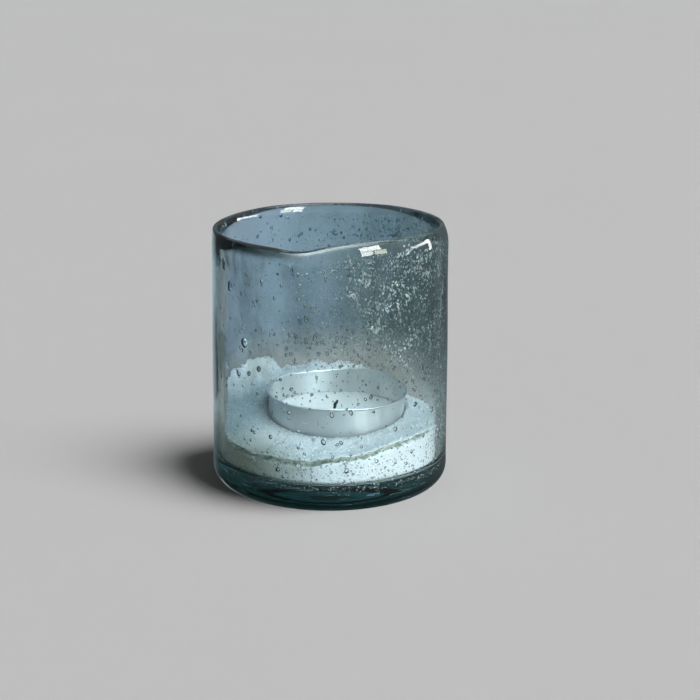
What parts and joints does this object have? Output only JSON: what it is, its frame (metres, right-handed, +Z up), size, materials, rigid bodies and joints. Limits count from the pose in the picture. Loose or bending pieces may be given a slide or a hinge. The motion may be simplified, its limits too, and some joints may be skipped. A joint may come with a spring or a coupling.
{
  "type": "tealight lantern",
  "caption": "Heavy hand-blown tumbler of bubbled glass holding a bed of white salt and a lift-out maxi tea light in a metal cup",
  "frame": {"origin": "middle of the ring the tumbler stands on, on the table", "axes": "+Z up along the tumbler's axis, -Y towards the viewer, +X to the viewer's right"},
  "size_m": [0.097, 0.097, 0.1085],
  "materials": {
    "glass_tumbler": "clear, blue-green, full of small bubbles",
    "salt_bed": "coarse white crystals",
    "tealight_cup": "bright drawn foil",
    "tealight_wax": "smooth translucent wax",
    "wick": "braided cotton, charred tip",
    "wick_sustainer": "tinned"
  },
  "bodies": {
    "vessel": {"glass_tumbler": "glass_tumbler", "salt_bed": "salt_bed"},
    "tealight": {"tealight_cup": "tealight_cup", "tealight_wax": "tealight_wax", "wick": "wick", "wick_sustainer": "wick_sustainer"}
  },
  "joints": [
    {"name": "tealight_lift", "type": "slide", "parent": "vessel", "child": "tealight", "axis": [0, 0, 1], "range_m": [0, 0.11]}
  ]
}
